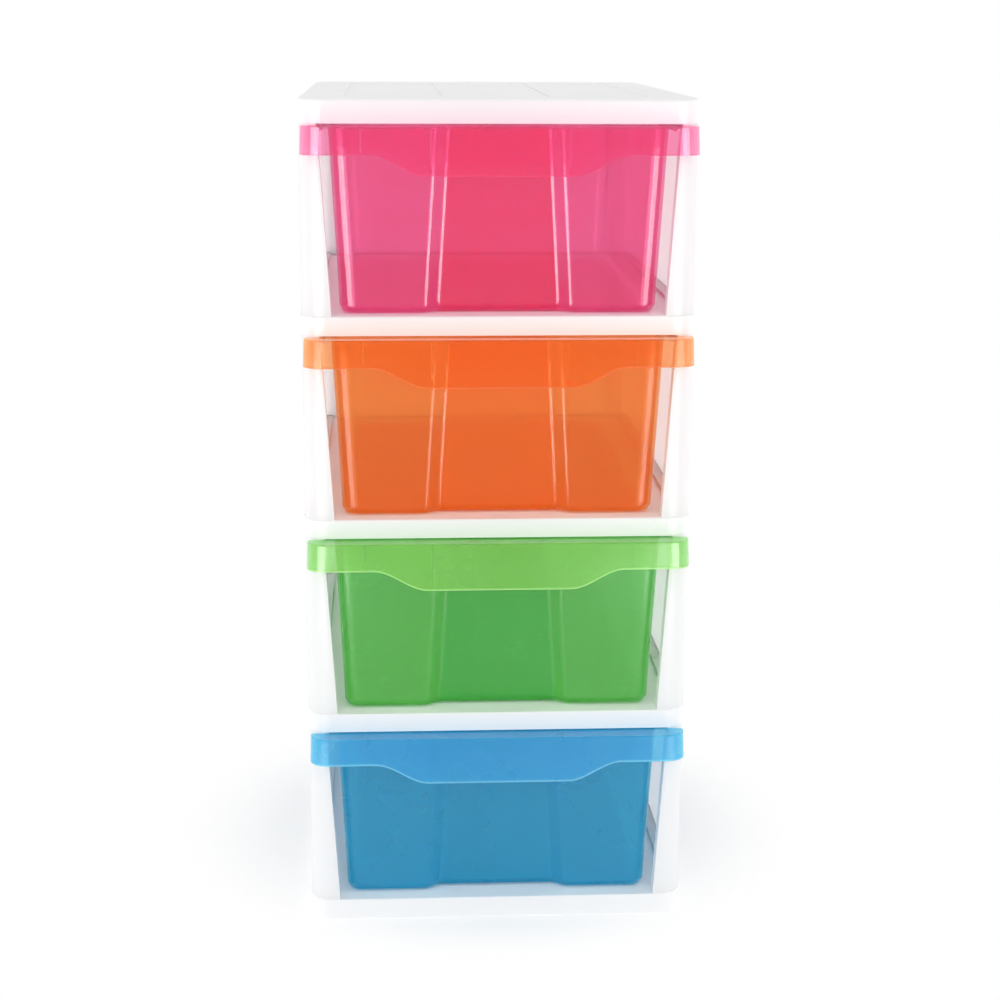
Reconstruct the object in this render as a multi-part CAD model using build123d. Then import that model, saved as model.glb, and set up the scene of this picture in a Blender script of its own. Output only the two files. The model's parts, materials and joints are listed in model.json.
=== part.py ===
from build123d import *
import os
from math import atan, cos, radians, sin, tan

# Drawer tower: four pull-out drawers between moulded shelves, side panels and back panels.
# Millimetres. X runs across the front, the drawers open towards -Y, and Z is up.
# The origin is on the floor, in the middle of the footprint with the drawers' lips.

# Whole tower
tower_width = 290.0  # across the skirts of the base and the shelves
tower_depth = 406.0  # front skirt to back skirt
drawer_count = 4
bay_height = 137.5  # clear height from a shelf's top to the skirt above it
corner_radius = 18.0  # of the skirts, seen from above
skirt_wall = 2.5
plate_thickness = 2.5
lid_edge_round = 2.0
shelf_edge_bevel = 0.8
round_cut_count = 2  # flat cuts that stand for a rounded edge
bevel_cut_count = 1

# Base, shelves and lid
base_height = 15.5
shelf_height = 14.0
lid_height = 17.5
skirt_draft = 0.8  # degrees, base and shelves
lid_draft = 4.0  # degrees
lid_overhang = 0.6  # the lid's lower edge beyond the skirts below it
lid_field_border = 33.0  # from the lid's edge to its sunk field
lid_field_depth = 1.0
lid_field_radius = 12.0
lid_groove_spacing = 80.0
lid_groove_width = 2.4
lid_groove_depth = 0.7
rib_thickness = 1.6
rib_depth = 5.0
long_rib_count = 1
cross_rib_count = 2

# Side panels
panel_wall = 2.5
panel_inset = 1.2  # the panels' outer faces inside the skirts' edges
front_flange_width = 23.3  # from the skirts' edge to the opening, at the shelf
opening_lean = 3.6  # degrees, each flange edge
flange_return_depth = 12.0
flange_return_wall = 2.0
back_flange_lap = 8.0  # over each edge of the back panel
foot_width = 8.0
foot_thickness = 2.5
collar_wall = 2.0
collar_height = 8.0  # above and below the joint with the skirt
collar_end_margin = 34.0  # from the front and back faces of the tower
tongue_count = 3
tongue_length = 30.0
tongue_wall = 2.0
tongue_spacing = 130.0
tongue_reach = 3.0  # below the shelf's plate
guide_thickness = 2.0
guide_clearance = 0.8

# Back panels
back_wall = 2.0
groove_rib_wall = 2.0
back_rib_count = 3
back_rib_height = 1.5
back_rib_width = 3.0
back_rib_margin = 20.0

# Fits
seat_clearance = 0.3  # between parts that slip into each other
slide_clearance = 0.3  # under a closed drawer
head_clearance = 1.0  # over a closed drawer

# Drawer body
drawer_wall = 2.0
drawer_floor = 2.2
drawer_side_gap = 5.8  # between the drawer's foot and each flange edge
drawer_draft = 2.9  # degrees, all four walls
front_wall_setback = 14.0  # drawer front behind the skirts' front, at the bottom
back_gap = 7.5  # between the drawer's rim and the back panel
body_corner_radius = 10.0
floor_edge_round = 5.5
cavity_edge_bevel = 2.8

# Recess in the drawer front
recess_depth = 7.5
recess_mouth_width = 106.4  # at the bottom
recess_floor_width = 88.8  # at the bottom
recess_lean = 3.4  # degrees, each edge, narrowing upwards
recess_corner_radius = 6.2

# Rim round the drawer
rim_thickness = 2.0
rim_drop = 5.0
rim_edge_wall = 1.6
rim_side_clearance = 1.3
rim_corner_radius = 12.0
back_rim_width = 5.0

# Lip and handle
lip_reach = 15.5  # in front of the skirts
lip_side_inset = 3.1  # the lip's ends inside the skirts' edges
lip_wall = 2.0
lip_end_height = 20.4
handle_height = 35.0
lip_flare = 2.0  # degrees, lower edge outwards
lip_corner_radius = 14.0
lip_back_clearance = 0.5  # between the lip's ends and the front flanges
lip_top_bevel = 0.8
handle_flat_width = 106.0  # between the ends of the S-curves
handle_curve_length = 40.0
handle_curve_pull = 14.0  # of each end's curve before it turns
lip_rib_wall = 1.4
outer_lip_rib_spacing = 198.0
inner_lip_rib_spacing = 99.0

# Worked out from the values above
frame_centre_y = lip_reach / 2
front_y = frame_centre_y - tower_depth / 2
back_y = frame_centre_y + tower_depth / 2
panel_front_y = front_y + panel_inset
panel_back_y = back_y - panel_inset
panel_outer_x = tower_width / 2 - panel_inset
panel_inner_x = panel_outer_x - panel_wall
opening_width_bottom = tower_width - 2 * front_flange_width
opening_slope = tan(radians(opening_lean))
storey = bay_height + shelf_height
back_panel_y = panel_back_y - panel_wall - seat_clearance
collar_outer_x = tower_width / 2 - skirt_wall - seat_clearance
collar_inner_x = collar_outer_x - collar_wall
tongue_x = panel_inner_x - foot_width / 2
back_panel_half_width = panel_outer_x - corner_radius + panel_inset
back_opening_half_width = back_panel_half_width - back_flange_lap
drawer_height = bay_height - slide_clearance - head_clearance
lip_front_y = front_y - lip_reach
lip_back_y = panel_front_y - lip_back_clearance
lip_half_width = tower_width / 2 - lip_side_inset
rim_back_y = back_panel_y - back_wall - back_gap


def floor_of_bay(tier):
    """Height of the shelf top that drawer number tier stands on; tier 1 is at the top."""
    return base_height + (drawer_count - tier) * storey


def opening_half_width(height):
    """Half the gap between the front flanges at a height above the shelf."""
    return opening_width_bottom / 2 + height * opening_slope


def stack(outline, steps):
    """Solid through outlines of one kind, each drawn in by an inset at its height."""
    sections = [Pos(0, 0, height) * outline(height, inset) for height, inset in steps]
    return loft(sections, ruled=True)


def lower_edge(height, size, cut_count):
    """Steps (height, inset) that take off an edge at a height in flat cuts, going up from it."""
    turns = [radians(90 * cut / cut_count) for cut in range(cut_count + 1)]
    return [(height + size * (1 - cos(turn)), size * (1 - sin(turn))) for turn in turns]


def upper_edge(height, size, cut_count):
    """The same steps under an upper edge, going up to it."""
    return [(2 * height - step, inset) for step, inset in lower_edge(height, size, cut_count)[::-1]]


# Lid, shelves and base


def drafted_block(width, depth, radius, steps, draft):
    """A rounded block about the frame's centre that narrows upwards."""

    def outline(height, inset):
        drawn_in = 2 * (inset + height * tan(radians(draft)))
        return Pos(0, frame_centre_y) * RectangleRounded(width - drawn_in, depth - drawn_in, radius)

    return stack(outline, steps)


def skirted_tray(width, depth, height, draft, top_edge):
    """A plate with a skirt all round, open underneath; top_edge is its size and number of cuts."""
    outer_steps = [(0, 0)] + upper_edge(height, *top_edge)
    outer = drafted_block(width, depth, corner_radius, outer_steps, draft)
    hollow = drafted_block(
        width - 2 * skirt_wall,
        depth - 2 * skirt_wall,
        corner_radius - skirt_wall,
        [(0, 0), (height - plate_thickness, 0)],
        draft,
    )
    return outer - hollow


def plate_ribs(height):
    """Stiffening ribs under a plate, clear of the panels that tuck in beside them."""
    field_half_width = tongue_x - tongue_wall / 2 - 2 * seat_clearance
    field_front = panel_front_y + panel_wall + rib_thickness
    field_back = back_panel_y - back_wall - groove_rib_wall - 2 * seat_clearance
    field_depth = field_back - field_front
    field_centre_y = (field_front + field_back) / 2
    rib_z = height - plate_thickness - rib_depth / 2
    ribs = Part()
    for index in range(long_rib_count):
        x = field_half_width * (2 * (index + 1) / (long_rib_count + 1) - 1)
        ribs += Pos(x, field_centre_y, rib_z) * Box(rib_thickness, field_depth, rib_depth)
    for index in range(cross_rib_count):
        y = field_front + field_depth * (index + 1) / (cross_rib_count + 1)
        ribs += Pos(0, y, rib_z) * Box(2 * field_half_width, rib_thickness, rib_depth)
    return ribs


def tongue_places():
    """Middle of each tongue along the tower's depth."""
    return [
        frame_centre_y + (index - (tongue_count - 1) / 2) * tongue_spacing
        for index in range(tongue_count)
    ]


def tongue_slots(height):
    """Slots through a plate for the tongues of the panels that stand on it."""
    slots = Part()
    for side in (-1, 1):
        for y in tongue_places():
            slots += Pos(side * tongue_x, y, height) * Box(
                tongue_wall + 2 * seat_clearance,
                tongue_length + 2 * seat_clearance,
                3 * plate_thickness,
            )
    return slots


def shelf(height):
    """Shelf or base moulding, standing on z = 0."""
    tray = skirted_tray(tower_width, tower_depth, height, skirt_draft, (shelf_edge_bevel, bevel_cut_count))
    return tray + plate_ribs(height) - tongue_slots(height)


def lid():
    """Top cover with a sunk field that two grooves part in three."""
    width = tower_width + 2 * lid_overhang
    depth = tower_depth + 2 * lid_overhang
    cover = skirted_tray(width, depth, lid_height, lid_draft, (lid_edge_round, round_cut_count))
    cover += plate_ribs(lid_height)
    field_width = tower_width - 2 * lid_field_border
    field_length = tower_depth - 2 * lid_field_border
    field = extrude(RectangleRounded(field_width, field_length, lid_field_radius), lid_field_depth)
    cover -= Pos(0, frame_centre_y, lid_height - lid_field_depth) * field
    groove_floor = lid_height - lid_field_depth - lid_groove_depth
    for side in (-1, 1):
        groove = Box(lid_groove_width, field_length, lid_height, align=(Align.CENTER, Align.CENTER, Align.MIN))
        cover -= Pos(side * lid_groove_spacing / 2, frame_centre_y, groove_floor) * groove
    return cover


# Side panels and back panels, standing on z = 0


def opening_prism(front, back):
    """The leaning front opening, from one depth to another."""
    high = bay_height + collar_height
    corners = [
        (-opening_half_width(0), 0),
        (opening_half_width(0), 0),
        (opening_half_width(high), high),
        (-opening_half_width(high), high),
    ]
    prism = extrude(Plane.XZ * Polygon(*corners, align=None), front - back)
    return Pos(0, front, 0) * prism


def panel_shell():
    """Right-hand wall with its front and back flanges."""
    width = 2 * panel_outer_x
    depth = panel_back_y - panel_front_y
    radius = corner_radius - panel_inset
    outside = RectangleRounded(width, depth, radius)
    inside = RectangleRounded(width - 2 * panel_wall, depth - 2 * panel_wall, radius - panel_wall)
    tube = Pos(0, frame_centre_y, 0) * extrude(outside - inside, bay_height)
    tube -= opening_prism(front_y, frame_centre_y)
    tube -= Pos(0, back_y, bay_height / 2) * Box(2 * back_opening_half_width, tower_depth, bay_height)
    right_half = Pos(tower_width / 2, frame_centre_y, bay_height / 2)
    return tube & right_half * Box(tower_width, tower_depth, bay_height)


def flange_return():
    """Wall that turns back from the leaning edge of the front flange."""
    low = opening_half_width(0)
    high = opening_half_width(bay_height)
    corners = [
        (low, 0),
        (low + flange_return_wall, 0),
        (high + flange_return_wall, bay_height),
        (high, bay_height),
    ]
    wall = extrude(Plane.XZ * Polygon(*corners, align=None), -flange_return_depth)
    return Pos(0, panel_front_y, 0) * wall


def side_panel():
    """Right-hand side panel of one bay."""
    groove_rib_y = back_panel_y - back_wall - seat_clearance - groove_rib_wall / 2
    return_end_y = panel_front_y + flange_return_depth
    run_start = return_end_y + panel_wall
    run_end = groove_rib_y
    run = run_end - run_start
    run_y = (run_start + run_end) / 2
    panel = panel_shell() + flange_return()
    foot = Box(foot_width + panel_wall / 2, run, foot_thickness)
    foot_x = panel_inner_x - foot_width / 2 + panel_wall / 4
    panel += Pos(foot_x, run_y, foot_thickness / 2) * foot
    collar = Box(collar_wall, tower_depth - 2 * collar_end_margin, 2 * collar_height)
    panel += Pos(collar_inner_x + collar_wall / 2, frame_centre_y, bay_height) * collar
    groove_rib_reach = panel_inner_x + panel_wall / 2 - back_opening_half_width
    groove_rib_x = back_opening_half_width + groove_rib_reach / 2
    groove_rib = Box(groove_rib_reach, groove_rib_wall, bay_height)
    panel += Pos(groove_rib_x, groove_rib_y, bay_height / 2) * groove_rib
    panel += guide_rail(run, run_y)
    tongue_height = foot_thickness + plate_thickness + tongue_reach
    tongue_z = foot_thickness - tongue_height / 2
    for y in tongue_places():
        panel += Pos(tongue_x, y, tongue_z) * Box(tongue_wall, tongue_length, tongue_height)
    return panel


def rim_half_width():
    """Half the width of the drawer's rim, which passes between the front flanges."""
    rim_bottom = slide_clearance + drawer_height - rim_drop
    return opening_half_width(rim_bottom) - rim_side_clearance


def guide_rail(run, run_y):
    """Rail beside the drawer's rim that keeps the drawer straight."""
    inner_x = rim_half_width() + guide_clearance
    rail_width = panel_outer_x - panel_wall / 2 - inner_x
    rail_z = slide_clearance + drawer_height - rim_drop / 2
    return Pos(inner_x + rail_width / 2, run_y, rail_z) * Box(rail_width, run, guide_thickness)


def back_panel():
    """Back wall of one bay, held in the side panels' grooves and ribbed behind."""
    width = 2 * back_panel_half_width
    height = bay_height + shelf_height - plate_thickness - seat_clearance
    panel = Pos(0, back_panel_y - back_wall / 2, height / 2) * Box(width, back_wall, height)
    rib_length = 2 * (back_opening_half_width - back_rib_margin)
    for index in range(back_rib_count):
        z = bay_height * (index + 1) / (back_rib_count + 1)
        rib = Box(rib_length, 2 * back_rib_height, back_rib_width)
        panel += Pos(0, back_panel_y, z) * rib
    return panel


# Drawer, standing on z = 0


def body_outline(height, inset):
    """The drawer body's outline at a height, with the recess in its front, drawn in by inset."""
    growth = height * tan(radians(drawer_draft))
    half_width = opening_width_bottom / 2 - drawer_side_gap + growth - inset
    front = front_y + front_wall_setback - growth + inset
    back = rim_back_y - back_rim_width - drawer_height * tan(radians(drawer_draft)) + growth - inset
    flank = atan((recess_mouth_width - recess_floor_width) / 2 / recess_depth)
    drawn_out = inset * (1 / cos(flank) - tan(flank)) - height * tan(radians(recess_lean))
    mouth = recess_mouth_width / 2 + drawn_out
    recess_floor = recess_floor_width / 2 + drawn_out
    corners = [
        (-half_width, front),
        (-mouth, front),
        (-recess_floor, front + recess_depth),
        (recess_floor, front + recess_depth),
        (mouth, front),
        (half_width, front),
        (half_width, back),
        (-half_width, back),
    ]
    plan = Polygon(*corners, align=None)
    beside_recess = [corner for corner in plan.vertices() if abs(corner.X) < mouth + recess_depth]
    plan = fillet(beside_recess, recess_corner_radius)
    outer_corners = [corner for corner in plan.vertices() if abs(corner.X) > half_width - recess_depth]
    return fillet(outer_corners, body_corner_radius)


def lip_outline(height, inset):
    """The lip's outer outline at a height, drawn in by inset, longer than the lip at the back."""
    growth = (drawer_height - height) * tan(radians(lip_flare)) - inset
    front = lip_front_y - growth
    back = front_y + tower_depth / 2
    plan = Pos(0, (front + back) / 2) * Rectangle(2 * (lip_half_width + growth), back - front)
    return fillet(plan.vertices().sort_by(Axis.Y)[:2], lip_corner_radius)


def below_lip_edge():
    """Everything under the lip's lower edge, which drops to the handle in two S-curves."""
    end_z = drawer_height - lip_end_height
    handle_z = drawer_height - handle_height
    flat = handle_flat_width / 2
    bend = flat + handle_curve_length
    low_pull = flat + handle_curve_pull
    high_pull = bend - handle_curve_pull
    reach = tower_width
    edge = [
        Line((-reach, 0), (-reach, end_z)),
        Line((-reach, end_z), (-bend, end_z)),
        Bezier((-bend, end_z), (-high_pull, end_z), (-low_pull, handle_z), (-flat, handle_z)),
        Line((-flat, handle_z), (flat, handle_z)),
        Bezier((flat, handle_z), (low_pull, handle_z), (high_pull, end_z), (bend, end_z)),
        Line((bend, end_z), (reach, end_z)),
        Line((reach, end_z), (reach, 0)),
        Line((reach, 0), (-reach, 0)),
    ]
    profile = make_face(Plane.XZ * Wire(edge))
    return extrude(profile, tower_depth, both=True)


def lip():
    """Channel-shaped lip with the handle in its middle."""
    low = drawer_height - handle_height - lip_wall
    top_edge = upper_edge(drawer_height, lip_top_bevel, bevel_cut_count)
    outer = stack(lip_outline, [(low, 0)] + top_edge)
    inner = stack(lip_outline, [(low, lip_wall), (drawer_height - rim_thickness, lip_wall)])
    channel = outer - inner - below_lip_edge()
    ahead = Pos(0, lip_back_y - tower_depth / 2, drawer_height / 2)
    return channel & ahead * Box(2 * tower_width, tower_depth, 2 * drawer_height)


def rim():
    """Rim round the open top, turned down at its edge."""
    half = rim_half_width()
    depth = rim_back_y - lip_front_y - lip_wall
    centre_y = (rim_back_y + lip_front_y + lip_wall) / 2
    outside = RectangleRounded(2 * half, depth, rim_corner_radius)
    inside = RectangleRounded(
        2 * (half - rim_edge_wall),
        depth - 2 * rim_edge_wall,
        rim_corner_radius - rim_edge_wall,
    )
    edge = extrude(outside - inside, rim_drop)
    edge -= Pos(0, -tower_depth / 2, 0) * Box(tower_width, depth - tower_depth + 4 * lip_reach, 3 * rim_drop)
    plate = Pos(0, 0, rim_drop - rim_thickness) * extrude(outside, rim_thickness)
    return Pos(0, centre_y, drawer_height - rim_drop) * (edge + plate)


def lip_ribs():
    """Upright ribs between the lip and the drawer's front wall."""
    wall_y = front_y + front_wall_setback - drawer_height * tan(radians(drawer_draft))
    rib_front = lip_front_y + lip_wall / 2
    ribs = Part()
    for spacing, rib_height in (
        (outer_lip_rib_spacing, lip_end_height - lip_wall / 2),
        (inner_lip_rib_spacing, handle_height - lip_wall / 2),
    ):
        reach = wall_y + rib_height * tan(radians(drawer_draft)) + drawer_wall / 2 - rib_front
        for side in (-1, 1):
            ribs += Pos(side * spacing / 2, rib_front + reach / 2, drawer_height - rib_height / 2) * Box(
                lip_rib_wall, reach, rib_height - rim_thickness
            )
    return ribs


def drawer():
    """One drawer: body, rim, lip and handle in a single moulding."""
    outer_edge = lower_edge(0, floor_edge_round, round_cut_count)
    body = stack(body_outline, outer_edge + [(drawer_height, 0)])
    inner_edge = lower_edge(drawer_floor, cavity_edge_bevel, bevel_cut_count)
    inner_steps = [(height, inset + drawer_wall) for height, inset in inner_edge]
    cavity = stack(body_outline, inner_steps + [(drawer_height + drawer_wall, drawer_wall)])
    return body + lip() + rim() + lip_ribs() - cavity


def write(node, solid):
    """Write one node's solid to its own file."""
    solid.label = node
    export_step(solid, f"parts/{node}.step")


os.makedirs("parts", exist_ok=True)
right_panel = side_panel()
left_panel = mirror(right_panel, about=Plane.YZ)
back_wall_panel = back_panel()
one_drawer = drawer()
one_shelf = shelf(shelf_height)

write("base", shelf(base_height))
write("lid", Pos(0, 0, floor_of_bay(1) + bay_height) * lid())
for tier in range(1, drawer_count + 1):
    bay_floor = floor_of_bay(tier)
    if tier < drawer_count:
        write(f"shelf_{tier}", Pos(0, 0, bay_floor - shelf_height) * one_shelf)
    write(f"left_side_{tier}", Pos(0, 0, bay_floor) * left_panel)
    write(f"right_side_{tier}", Pos(0, 0, bay_floor) * right_panel)
    write(f"back_panel_{tier}", Pos(0, 0, bay_floor) * back_wall_panel)
    write(f"drawer_{tier}", Pos(0, 0, bay_floor + slide_clearance) * one_drawer)
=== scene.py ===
import json
from math import radians

import bpy
from mathutils import Matrix, Vector

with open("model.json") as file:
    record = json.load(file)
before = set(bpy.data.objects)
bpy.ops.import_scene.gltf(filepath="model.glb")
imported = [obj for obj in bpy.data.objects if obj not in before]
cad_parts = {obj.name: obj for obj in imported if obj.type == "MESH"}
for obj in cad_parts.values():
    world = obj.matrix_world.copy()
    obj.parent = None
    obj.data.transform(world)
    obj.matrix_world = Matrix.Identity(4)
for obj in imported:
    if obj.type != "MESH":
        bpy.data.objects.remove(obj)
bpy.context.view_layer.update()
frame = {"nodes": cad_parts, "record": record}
print("frame loaded")

# a drawer tower in metres: +X right, drawers open towards -Y, +Z up

plainWhite = (1.0, 1.0, 1.0, 1.0)
mixSockets = {"factor": 0, "first": 6, "second": 7, "result": 2}  # of a mix node set to colour


def emptyTree(owner):
    owner.use_nodes = True
    tree = owner.node_tree
    tree.nodes.clear()
    return tree


def addNode(tree, kind, **settings):
    node = tree.nodes.new(kind)
    for name, value in settings.items():
        if name in node.inputs:
            node.inputs[name].default_value = value
        else:
            setattr(node, name, value)
    return node


def rgba(colour):
    return (*colour, 1.0)


def feed(tree, socket, value):
    # a value is another node's output, a colour or a plain number
    if isinstance(value, bpy.types.NodeSocket):
        tree.links.new(value, socket)
    elif isinstance(value, tuple):
        socket.default_value = rgba(value)
    else:
        socket.default_value = value


def mapRange(tree, value, low, high, toLow, toHigh, interpolation="LINEAR"):
    node = addNode(tree, "ShaderNodeMapRange", interpolation_type=interpolation)
    ends = {"From Min": low, "From Max": high, "To Min": toLow, "To Max": toHigh}
    for socket, number in ends.items():
        node.inputs[socket].default_value = number
    feed(tree, node.inputs["Value"], value)
    return node.outputs["Result"]


def calculate(tree, operation, *values):
    node = addNode(tree, "ShaderNodeMath", operation=operation)
    for socket, value in zip(node.inputs, values):
        feed(tree, socket, value)
    return node.outputs["Value"]


def mixColours(tree, factor, first, second):
    node = addNode(tree, "ShaderNodeMix", data_type="RGBA")
    feed(tree, node.inputs[mixSockets["factor"]], factor)
    feed(tree, node.inputs[mixSockets["first"]], first)
    feed(tree, node.inputs[mixSockets["second"]], second)
    return node.outputs[mixSockets["result"]]


def mixShaders(tree, factor, first, second):
    node = addNode(tree, "ShaderNodeMixShader")
    for socket, value in zip(node.inputs, (factor, first, second)):
        feed(tree, socket, value)
    return node.outputs["Shader"]


def splitAxes(tree, place):
    axes = addNode(tree, "ShaderNodeSeparateXYZ")
    feed(tree, axes.inputs["Vector"], place)
    return axes.outputs


def useSurface(tree, material, shader):
    out = addNode(tree, "ShaderNodeOutputMaterial")
    feed(tree, out.inputs["Surface"], shader)
    return material


# every moulded plastic has a faint orange-peel bump and a drift of shine and tone

plastic = {
    "ior": 1.49,
    "cloudDetail": 3.0,
    "cloudSpan": (0.3, 0.7),  # of the noise, over which the roughness goes from end to end
    "peelDetail": 2.0,
    "peelStrength": 1.0,
}


def moulded(tree, look):
    place = addNode(tree, "ShaderNodeTexCoord").outputs["Object"]
    noise, depth = "ShaderNodeTexNoise", look["peelDepth"]
    cloud = addNode(tree, noise, Scale=look["cloudScale"], Detail=plastic["cloudDetail"])
    peel = addNode(tree, noise, Scale=look["peelScale"], Detail=plastic["peelDetail"])
    bump = addNode(tree, "ShaderNodeBump", Distance=depth, Strength=plastic["peelStrength"])
    feed(tree, cloud.inputs["Vector"], place)
    feed(tree, peel.inputs["Vector"], place)
    feed(tree, bump.inputs["Height"], peel.outputs["Fac"])
    drift = cloud.outputs["Fac"]
    shine = mapRange(tree, drift, *plastic["cloudSpan"], *look["roughness"])
    return {"place": place, "cloud": drift, "shine": shine, "bump": bump.outputs["Normal"]}


def plasticSurface(tree, surface, tone, glow, specular):
    shader = addNode(tree, "ShaderNodeBsdfPrincipled", IOR=plastic["ior"])
    shader.inputs["Specular IOR Level"].default_value = specular
    feed(tree, shader.inputs["Base Color"], tone)
    feed(tree, shader.inputs["Roughness"], surface["shine"])
    feed(tree, shader.inputs["Normal"], surface["bump"])
    through = addNode(tree, "ShaderNodeBsdfTranslucent")
    feed(tree, through.inputs["Color"], tone)
    return mixShaders(tree, glow, shader.outputs[0], through.outputs[0])


# white moulded plastic: the thick mouldings let little light through, the panels' walls more

whiteShell = {
    "colour": (0.94, 0.94, 0.945),
    "worn": (0.90, 0.90, 0.91),
    "cloudScale": 9.0,
    "peelScale": 900.0,
    "peelDepth": 0.00003,
    "roughness": (0.32, 0.42),
    "specular": 0.25,
    "glow": 0.05,
}
whitePanel = {
    **whiteShell,
    "colour": (0.955, 0.955, 0.958),
    "worn": (0.925, 0.925, 0.932),
    "glow": 0.70,  # thin side and back walls
    "thickGlow": 0.22,  # front flanges, feet and rails
    "flangeBack": (-0.182, -0.170),  # light comes up from where the flange's return ends, along Y
    "sideWall": 0.1405,  # a little inside its inner face, from the middle
    "backWall": 0.1950,  # ahead of the back panel and its groove, along Y
}


def thinWalls(tree, place, look):
    # 1 in the side and back walls, and 0 in the flanges, feet and rails
    x, y = splitAxes(tree, place)[:2]
    behindFlange = mapRange(tree, y, *look["flangeBack"], 0, 1)
    atSide = calculate(tree, "GREATER_THAN", calculate(tree, "ABSOLUTE", x), look["sideWall"])
    atBack = calculate(tree, "GREATER_THAN", y, look["backWall"])
    return calculate(tree, "MULTIPLY", behindFlange, calculate(tree, "MAXIMUM", atSide, atBack))


def whitePlastic(name, look):
    material = bpy.data.materials.new(name)
    tree = emptyTree(material)
    surface = moulded(tree, look)
    tone = mixColours(tree, surface["cloud"], look["colour"], look["worn"])
    glow = look["glow"]
    if "thickGlow" in look:
        thin = thinWalls(tree, surface["place"], look)
        glow = mapRange(tree, thin, 0, 1, look["thickGlow"], look["glow"])
    return useSurface(tree, material, plasticSurface(tree, surface, tone, glow, look["specular"]))


# see-through coloured plastic of the drawers

seeThrough = {
    "cloudScale": 14.0,
    "peelScale": 700.0,
    "peelDepth": 0.000003,
    "specular": 0.5,
    "glow": 0.45,
}
# each look's edge colour and edge opacity paint a highlight along the lip's lower edge
# each look's middle colour is a painted shade, darker, for the flat middle of the front recess
tinted = {
    "pink": {
        **seeThrough,
        "glass": (1.0, 0.73, 0.89),
        "body": (0.98, 0.075, 0.25),
        "deep": (0.95, 0.055, 0.18),
        "middle": (0.97, 0.02, 0.11),
        "lip": (0.98, 0.06, 0.22),
        "edge": (1.0, 0.16, 0.34),
        "edgeOpacity": 0.30,
        "clear": 0.80,
        "roughness": (0.05, 0.08),
        "gloss": 0.022,
        "foot": 0.4703,  # the height of its underside
    },
    "orange": {
        **seeThrough,
        "glass": (1.0, 0.83, 0.60),
        "body": (1.0, 0.35, 0.07),
        "deep": (0.98, 0.29, 0.05),
        "middle": (1.0, 0.27, 0.03),
        "lip": (1.0, 0.27, 0.04),
        "edge": (1.0, 0.36, 0.14),
        "edgeOpacity": 0.40,
        "clear": 0.75,
        "roughness": (0.09, 0.13),
        "gloss": 0.008,
        "foot": 0.3188,
    },
    "green": {
        **seeThrough,
        "glass": (0.76, 0.96, 0.76),
        "body": (0.21, 0.74, 0.13),
        "deep": (0.17, 0.69, 0.12),
        "middle": (0.08, 0.60, 0.08),
        "lip": (0.36, 0.76, 0.08),
        "edge": (0.62, 0.92, 0.40),
        "edgeOpacity": 0.70,
        "clear": 0.62,
        "roughness": (0.22, 0.28),
        "gloss": 0.030,
        "foot": 0.1673,
    },
    "blue": {
        **seeThrough,
        "glass": (0.60, 0.95, 0.98),
        "body": (0.03, 0.55, 0.80),
        "deep": (0.02, 0.50, 0.76),
        "middle": (0.01, 0.47, 0.71),
        "lip": (0.02, 0.50, 0.88),
        "edge": (0.35, 0.78, 0.95),
        "edgeOpacity": 0.70,
        "clear": 0.60,
        "roughness": (0.24, 0.30),
        "gloss": 0.026,
        "foot": 0.0158,
    },
}

# where the lower edge of the lip runs; the width is that of the painted highlight line along it
lipEdge = {
    "handle": 0.1012,  # lower edge above the drawer's foot, at the handle
    "ends": 0.1158,  # the same beyond the curves
    "curve": (0.053, 0.093),  # where the edge rises, from the middle
    "behind": -0.1950,  # the lip lies in front of this
    "width": 0.0020,
}
# painted shade: where the flat middle of the front recess lies, and how much less see-through its
# darker tone is
shadedRecess = {
    "halfWidth": 0.0444,  # of its flat middle, at the drawer's foot
    "lean": 0.0594,  # narrowing upwards
    "soft": 0.0015,
    "depth": (-0.1905, -0.1650),  # where the front wall lies
    "opacity": 0.16,  # beyond the rest of the drawer
}
gloss = {
    "grazing": 0.70,
    "sharpness": 5.0,  # how late it rises towards a grazing view
    "facingBlend": 0.5,
}


def lipAndEdgeHighlight(tree, place, foot):
    # painted highlight: a lighter, less see-through line along the lower edge of the lip, which
    # rises in two S-curves
    x, y, z = splitAxes(tree, place)
    side = calculate(tree, "ABSOLUTE", x)
    atHandle, atEnds = foot + lipEdge["handle"], foot + lipEdge["ends"]
    height = mapRange(tree, side, *lipEdge["curve"], atHandle, atEnds, "SMOOTHSTEP")
    above = calculate(tree, "SUBTRACT", z, height)
    highlightLine = mapRange(tree, above, 0, lipEdge["width"], 1, 0, "SMOOTHSTEP")
    lip = calculate(tree, "LESS_THAN", y, lipEdge["behind"])
    return lip, calculate(tree, "MULTIPLY", highlightLine, lip)


def recessShadeMask(tree, place, foot):
    # painted shade: the flat middle of the front recess gets a darker tone and is less
    # see-through than the walls beside it
    x, y, z = splitAxes(tree, place)
    above = calculate(tree, "SUBTRACT", z, foot)
    lean = calculate(tree, "MULTIPLY", above, shadedRecess["lean"])
    reach = calculate(tree, "ADD", calculate(tree, "ABSOLUTE", x), lean)
    half, soft = shadedRecess["halfWidth"], shadedRecess["soft"]
    inside = mapRange(tree, reach, half - soft, half + soft, 1, 0, "SMOOTHSTEP")
    front, back = shadedRecess["depth"]
    behind = calculate(tree, "GREATER_THAN", y, front)
    ahead = calculate(tree, "LESS_THAN", y, back)
    return calculate(tree, "MULTIPLY", inside, calculate(tree, "MULTIPLY", behind, ahead))


def glossLayer(tree, surface, straight):
    shader = addNode(tree, "ShaderNodeBsdfAnisotropic", Color=plainWhite)
    feed(tree, shader.inputs["Roughness"], surface["shine"])
    feed(tree, shader.inputs["Normal"], surface["bump"])
    facing = addNode(tree, "ShaderNodeLayerWeight", Blend=gloss["facingBlend"]).outputs["Facing"]
    rise = calculate(tree, "POWER", facing, gloss["sharpness"])
    return shader.outputs[0], mapRange(tree, rise, 0, 1, straight, gloss["grazing"])


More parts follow.
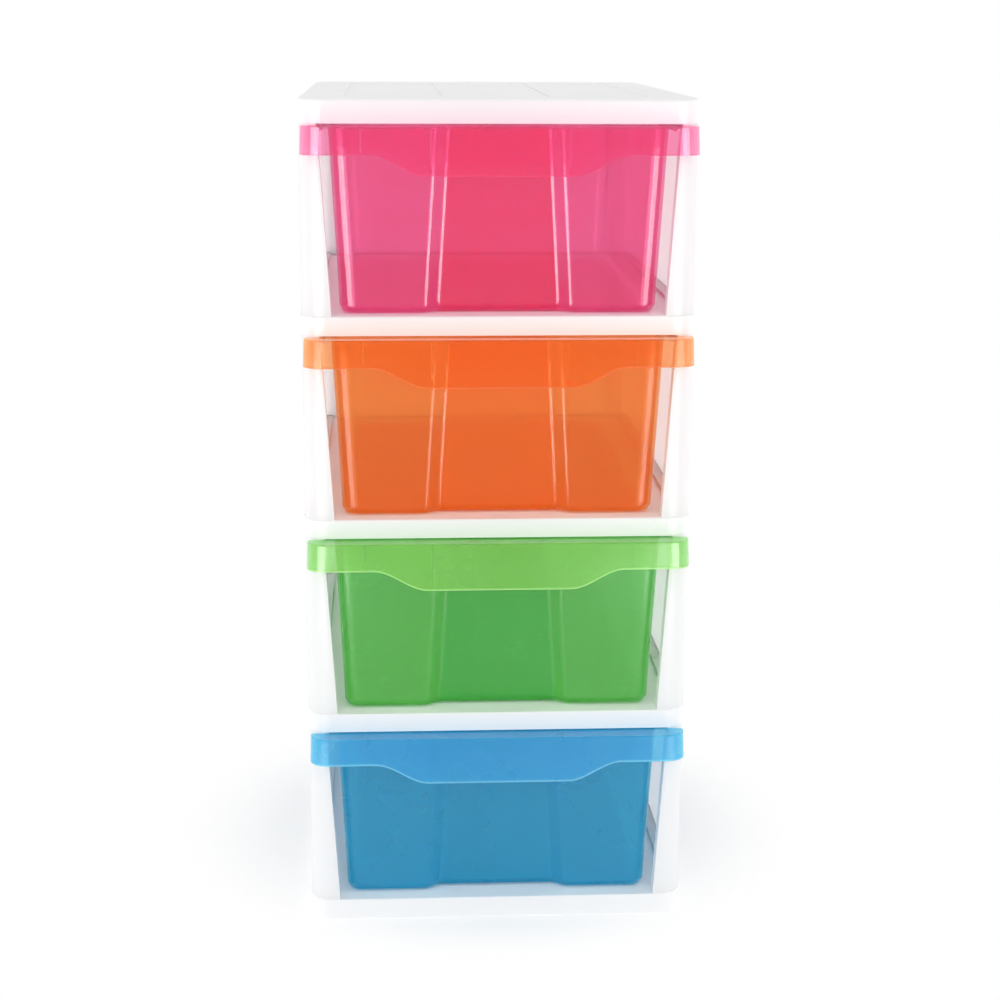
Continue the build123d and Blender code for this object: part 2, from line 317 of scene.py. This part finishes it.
def seeThroughPlastic(name, look):
    material = bpy.data.materials.new(name)
    tree = emptyTree(material)
    surface = moulded(tree, look)
    lip, highlightLine = lipAndEdgeHighlight(tree, surface["place"], look["foot"])
    middle = recessShadeMask(tree, surface["place"], look["foot"])
    tone = mixColours(tree, surface["cloud"], look["body"], look["deep"])
    tone = mixColours(tree, lip, tone, look["lip"])
    # painted highlight: a lighter tone along the lip's lower edge
    tone = mixColours(tree, highlightLine, tone, look["edge"])
    # painted shade in the flat middle of the front recess
    tone = mixColours(tree, middle, tone, look["middle"])
    glass = addNode(tree, "ShaderNodeBsdfTransparent", Color=rgba(look["glass"]))
    # the painted highlight line is also less see-through than the rest of the drawer
    opacity = mapRange(tree, highlightLine, 0, 1, 1 - look["clear"], look["edgeOpacity"])
    # the painted shade also makes the recess's middle less see-through
    more = calculate(tree, "MULTIPLY", middle, shadedRecess["opacity"])
    opacity = calculate(tree, "ADD", opacity, more)
    body = plasticSurface(tree, surface, tone, look["glow"], look["specular"])
    filled = mixShaders(tree, opacity, glass.outputs[0], body)
    mirror, strength = glossLayer(tree, surface, look["gloss"])
    return useSurface(tree, material, mixShaders(tree, strength, filled, mirror))


shell = whitePlastic("whiteShell", whiteShell)
panel = whitePlastic("whitePanel", whitePanel)
drawerPlastic = {name: seeThroughPlastic(name + "Plastic", look) for name, look in tinted.items()}

slotOf = {part["node"]: part["material_slot"] for part in frame["record"]["subparts"]}
for name, piece in frame["nodes"].items():
    isPanel = "side" in name or "back" in name
    white = panel if isPanel else shell
    piece.material_slots[0].material = drawerPlastic.get(slotOf[name], white)
print("materials done")

# the camera stands where the photograph was taken, angles in degrees

view = {
    "place": (-0.07914, -1.63298, 0.67758),
    "yaw": 3.185,
    "pitch": -13.453,
    "roll": 0.245,
    "lens": 71.92,
    "sensor": 36.0,
}
cameraData = bpy.data.cameras.new("camera")
cameraData.lens = view["lens"]
cameraData.sensor_width = view["sensor"]
camera = bpy.data.objects.new("camera", cameraData)
bpy.context.scene.collection.objects.link(camera)
camera.matrix_world = (
    Matrix.Translation(view["place"])
    @ Matrix.Rotation(-radians(view["yaw"]), 4, "Z")
    @ Matrix.Rotation(radians(90 + view["pitch"]), 4, "X")
    @ Matrix.Rotation(radians(view["roll"]), 4, "Z")
)
bpy.context.scene.camera = camera
print("camera done")

# the floor keeps the tower's shadow near it and turns plain white further off

floorLook = {
    "size": 14.0,
    "colour": (0.96, 0.96, 0.96),
    "roughness": 0.7,
    "specular": 0.1,
    "near": 0.13,
    "far": 0.28,
    "white": 1.0,
}


def whiteFloor(look):
    bpy.ops.object.select_all(action="DESELECT")
    bpy.ops.mesh.primitive_plane_add(size=look["size"], location=(0, 0, 0))
    floor = bpy.context.object
    floor.name = "floor"
    material = bpy.data.materials.new("paleFloor")
    tree = emptyTree(material)
    paint = addNode(tree, "ShaderNodeBsdfPrincipled", Roughness=look["roughness"])
    feed(tree, paint.inputs["Base Color"], look["colour"])
    paint.inputs["Specular IOR Level"].default_value = look["specular"]
    white = addNode(tree, "ShaderNodeEmission", Color=plainWhite, Strength=look["white"])
    place = addNode(tree, "ShaderNodeTexCoord")
    away = addNode(tree, "ShaderNodeVectorMath", operation="LENGTH")
    feed(tree, away.inputs[0], place.outputs["Object"])
    fade = mapRange(tree, away.outputs["Value"], look["near"], look["far"], 0, 1, "SMOOTHSTEP")
    path = addNode(tree, "ShaderNodeLightPath")
    seen = calculate(tree, "MULTIPLY", fade, path.outputs["Is Camera Ray"])
    shader = mixShaders(tree, seen, paint.outputs[0], white.outputs[0])
    floor.data.materials.append(useSurface(tree, material, shader))


whiteFloor(floorLook)
print("floor done")

sky = {
    "strength": 0.80,  # of its light on the tower
    "seen": 1.0,  # as the camera, gloss and clear plastic see it
}


def studioSky(look):
    world = bpy.data.worlds.new("studio")
    bpy.context.scene.world = world
    tree = emptyTree(world)
    path = addNode(tree, "ShaderNodeLightPath").outputs
    seen = calculate(tree, "MAXIMUM", path["Is Camera Ray"], path["Is Glossy Ray"])
    seen = calculate(tree, "MAXIMUM", seen, path["Is Transmission Ray"])
    soft = addNode(tree, "ShaderNodeBackground", Color=plainWhite, Strength=look["strength"])
    bright = addNode(tree, "ShaderNodeBackground", Color=plainWhite, Strength=look["seen"])
    out = addNode(tree, "ShaderNodeOutputWorld")
    shader = mixShaders(tree, seen, soft.outputs[0], bright.outputs[0])
    feed(tree, out.inputs["Surface"], shader)


studioSky(sky)

# the soft boxes light the tower; the side boxes stand on the floor and only draw highlights

softBox = {"size": (1.6, 1.2), "aim": (0, 0, 0.32), "onlyGloss": False}
sideBox = {"size": (0.55, 1.0), "power": 19.0, "aim": (0, -0.2, 0.50), "onlyGloss": True}
lamps = {
    "front": {**softBox, "power": 9.0, "place": (-0.25, -2.3, 0.95)},
    "left": {**softBox, "power": 10.0, "place": (-1.7, 0.2, 0.6)},
    "right": {**softBox, "power": 10.0, "place": (1.7, 0.2, 0.6)},
    "back": {**softBox, "power": 7.0, "place": (0, 2.1, 0.7)},
    "sideBoxLeft": {**sideBox, "place": (-0.50, -0.87, 0.50)},
    "sideBoxRight": {**sideBox, "place": (0.50, -0.87, 0.50)},
}


def addLamp(name, lamp):
    data = bpy.data.lights.new(name, "AREA")
    data.shape = "RECTANGLE"
    data.size, data.size_y = lamp["size"]
    data.energy = lamp["power"]
    light = bpy.data.objects.new(name, data)
    bpy.context.scene.collection.objects.link(light)
    light.location = lamp["place"]
    towards = Vector(lamp["aim"]) - Vector(lamp["place"])
    light.rotation_euler = towards.to_track_quat("-Z", "Y").to_euler()
    light.visible_glossy = lamp["onlyGloss"]
    light.visible_diffuse = not lamp["onlyGloss"]
    light.visible_transmission = not lamp["onlyGloss"]


for name, lamp in lamps.items():
    addLamp(name, lamp)
print("sky and lamps done")

# light passes many see-through walls before it leaves the tower

bounces = {"clear": 32, "total": 16, "diffuse": 12}
brightestBounce = 2.0  # keeps stray bright specks down
scene = bpy.context.scene
scene.view_settings.view_transform = "Standard"
scene.cycles.transparent_max_bounces = bounces["clear"]
scene.cycles.max_bounces = bounces["total"]
scene.cycles.diffuse_bounces = bounces["diffuse"]
scene.cycles.sample_clamp_indirect = brightestBounce
